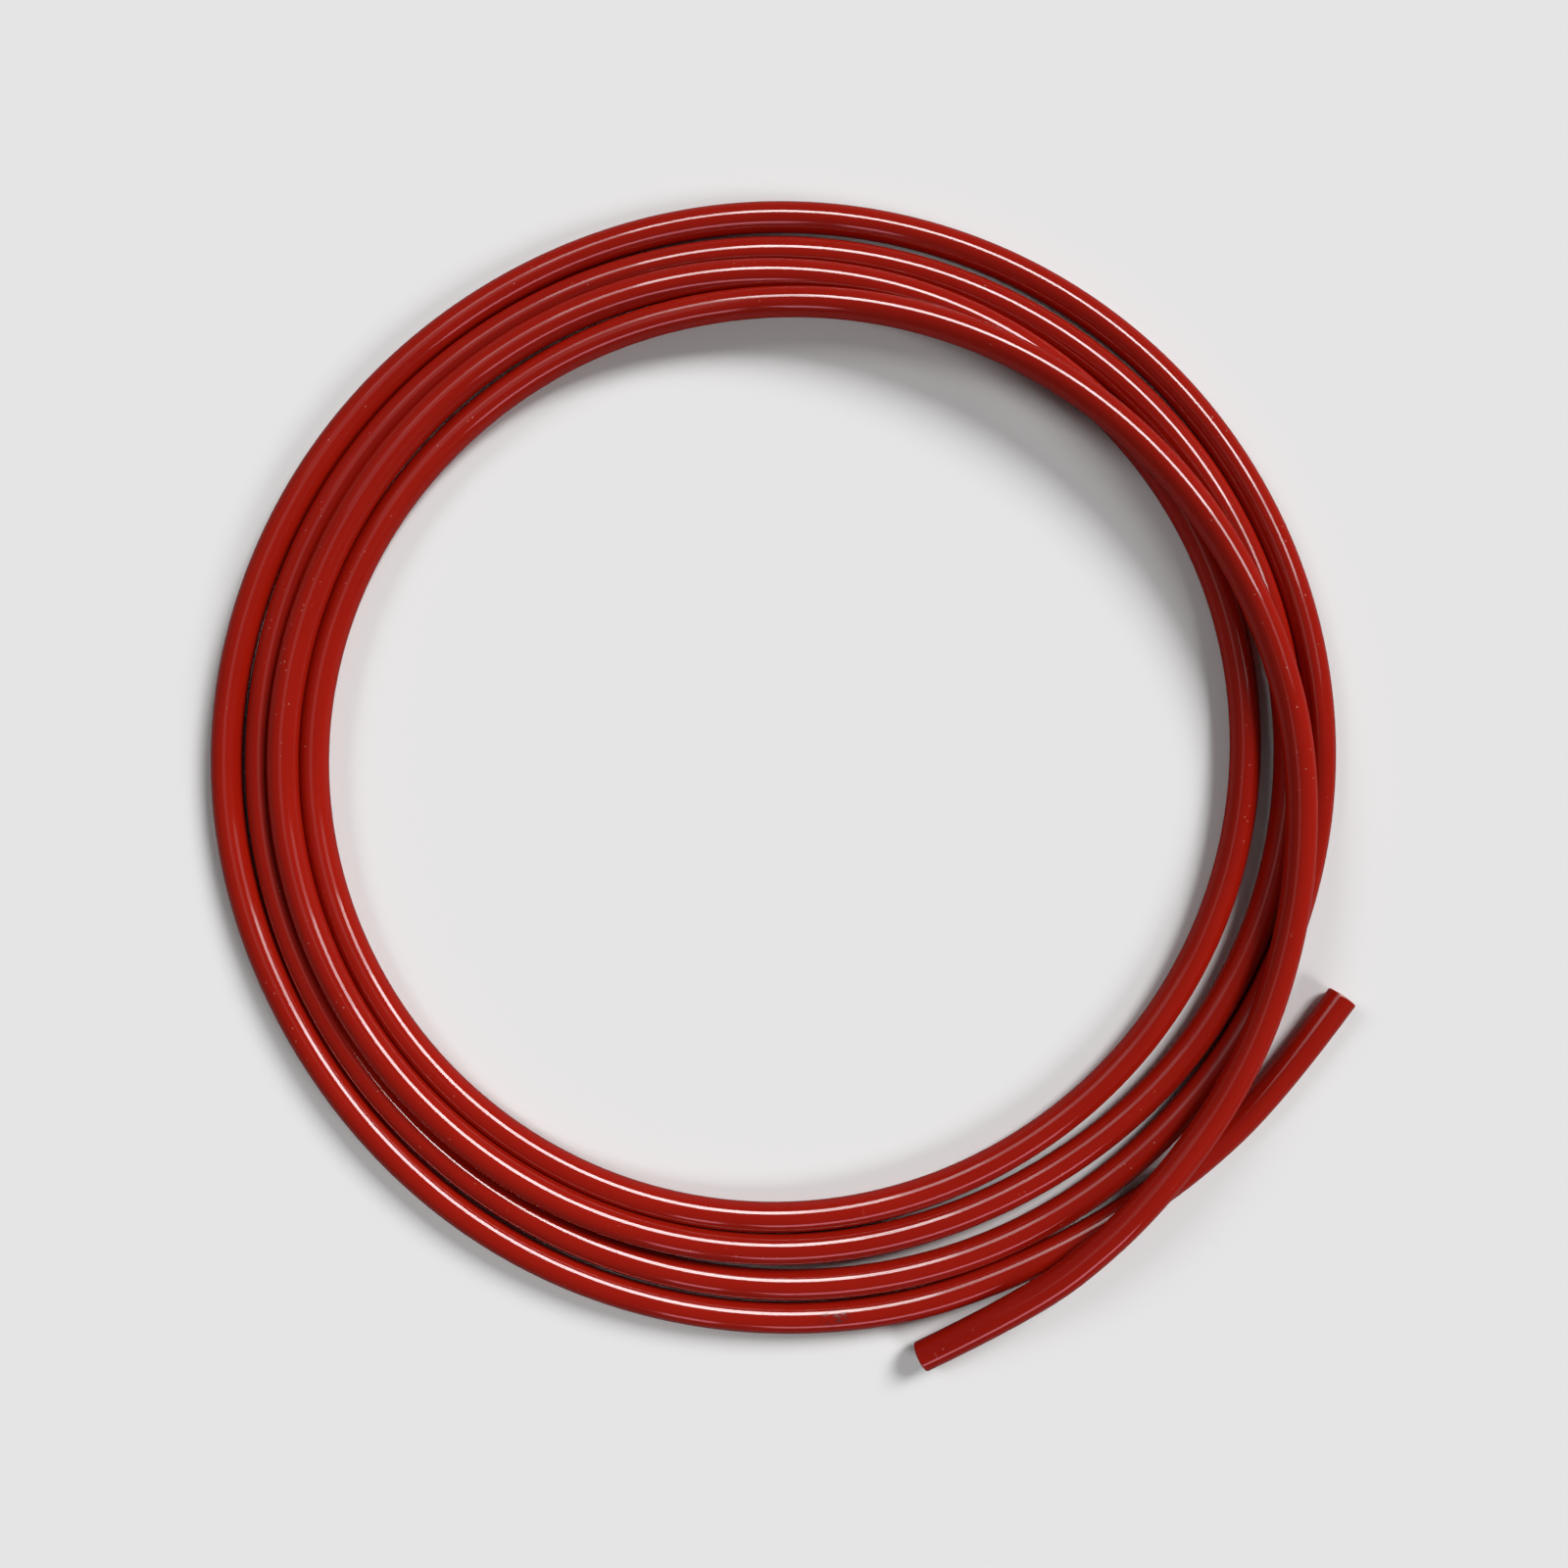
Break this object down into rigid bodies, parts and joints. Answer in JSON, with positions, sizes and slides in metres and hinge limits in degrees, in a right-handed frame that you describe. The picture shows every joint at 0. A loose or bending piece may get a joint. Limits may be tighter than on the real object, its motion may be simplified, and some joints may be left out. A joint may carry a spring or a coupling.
{
  "type": "coiled air hose",
  "caption": "Bare length of smooth red pneumatic tubing laid in a flat coil, one end crossing over the other, both ends cut square.",
  "frame": {"origin": "middle of the part's footprint, on the floor the coil lies on", "axes": "+Z up, along the coil's axis; +X to the right and +Y up as seen from above, with both free ends to the lower right"},
  "size_m": [0.3664, 0.3736, 0.0204],
  "materials": {
    "hose_plastic": "semi-gloss extruded, opaque red"
  },
  "bodies": {
    "root": {"hose_coil": "hose_plastic", "hose_tail_a": "hose_plastic", "hose_tail_b": "hose_plastic", "hose_end_a": "hose_plastic", "hose_end_b": "hose_plastic"}
  },
  "joints": []
}
